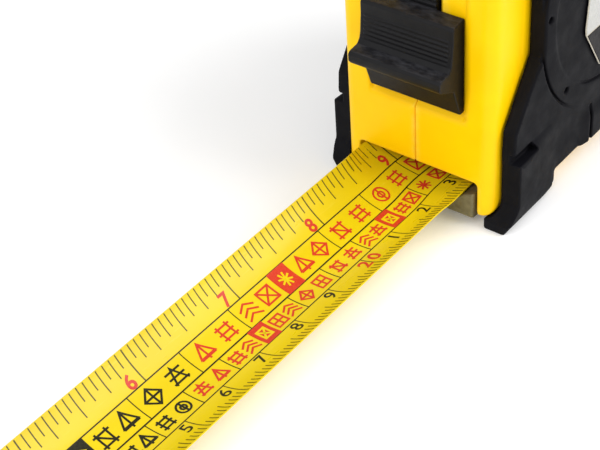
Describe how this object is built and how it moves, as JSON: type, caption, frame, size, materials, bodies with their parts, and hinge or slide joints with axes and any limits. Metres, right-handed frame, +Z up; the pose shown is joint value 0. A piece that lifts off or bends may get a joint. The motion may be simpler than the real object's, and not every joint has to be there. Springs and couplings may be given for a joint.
{
  "type": "tape measure",
  "caption": "Pocket tape measure with rubber side grips, a thumb lock on the front, a sprung belt clip and a curved steel blade partly drawn out, ending in a riveted hook.",
  "frame": {"origin": "middle of the case's flat base, where it rests", "axes": "+X from the end hook towards the back of the case, +Y to the belt clip side, +Z up"},
  "size_m": [0.2968, 0.0505, 0.0742],
  "materials": {
    "yellow_abs": "moulded ABS, satin gloss",
    "black_rubber": "matt moulded rubber with a fine grain",
    "black_plastic": "fine spark-eroded texture",
    "grey_plastic": "moulded acetal",
    "white_plastic": "moulded, natural colour",
    "blade_paint": "yellow lacquer with printed graduations under a clear coat",
    "steel": "bright zinc plate",
    "wear_steel": "rolled steel, slightly worn",
    "clip_steel": "black lacquered spring steel",
    "badge_print": "silver over dark grey printed foil"
  },
  "bodies": {
    "case": {"case_half_badge_side": "yellow_abs", "case_half_clip_side": "yellow_abs", "grip_badge_side": "black_rubber", "grip_clip_side": "black_rubber", "badge": "badge_print", "detent_spring": "steel", "centre_post": "steel", "washer_badge_side": "grey_plastic", "washer_clip_side": "grey_plastic", "mouth_wear_plate": "wear_steel", "hook_bumper": "black_rubber", "clip_base": "clip_steel", "clip_screw": "steel", "case_screw_1": "steel", "case_screw_2": "steel", "case_screw_3": "steel", "post_screw": "steel"},
    "lock": {"lock_slider": "black_plastic", "lock_arm": "grey_plastic", "brake_pad": "black_rubber"},
    "reel": {"reel_drum": "white_plastic", "reel_cover": "white_plastic", "blade_coil": "blade_paint", "power_spring": "steel"},
    "blade_end": {"blade": "blade_paint", "hook_rivet_1": "steel", "hook_rivet_2": "steel", "hook_rivet_3": "steel", "hook_rivet_4": "steel"},
    "hook": {"end_hook": "steel"},
    "clip": {"clip_arm": "clip_steel"}
  },
  "joints": [
    {"name": "blade_slide", "type": "slide", "parent": "case", "child": "blade_end", "axis": [1, 0, 0], "range_m": [0, 0.2244], "deforming": ["blade"]},
    {"name": "hook_float", "type": "slide", "parent": "blade_end", "child": "hook", "axis": [1, 0, 0], "range_m": [-0.0004, 0.0004]},
    {"name": "reel_spin", "type": "hinge", "parent": "case", "child": "reel", "pos_m": [0.001, 0, 0.0402], "axis": [0, -1, 0], "range_deg": [0, 514], "deforming": ["power_spring"]},
    {"name": "lock_slide", "type": "slide", "parent": "case", "child": "lock", "axis": [0, 0, 1], "range_m": [0, 0.0065]},
    {"name": "clip_flex", "type": "hinge", "parent": "case", "child": "clip", "pos_m": [0.001, 0.0233, 0.0515], "axis": [1, 0, 0], "range_deg": [0, 8], "stiffness_Nm_per_rad": 0.3}
  ],
  "couplings": [
    {"joint": "reel_spin", "follows": "blade_slide", "rad_per_m": 39.526}
  ]
}
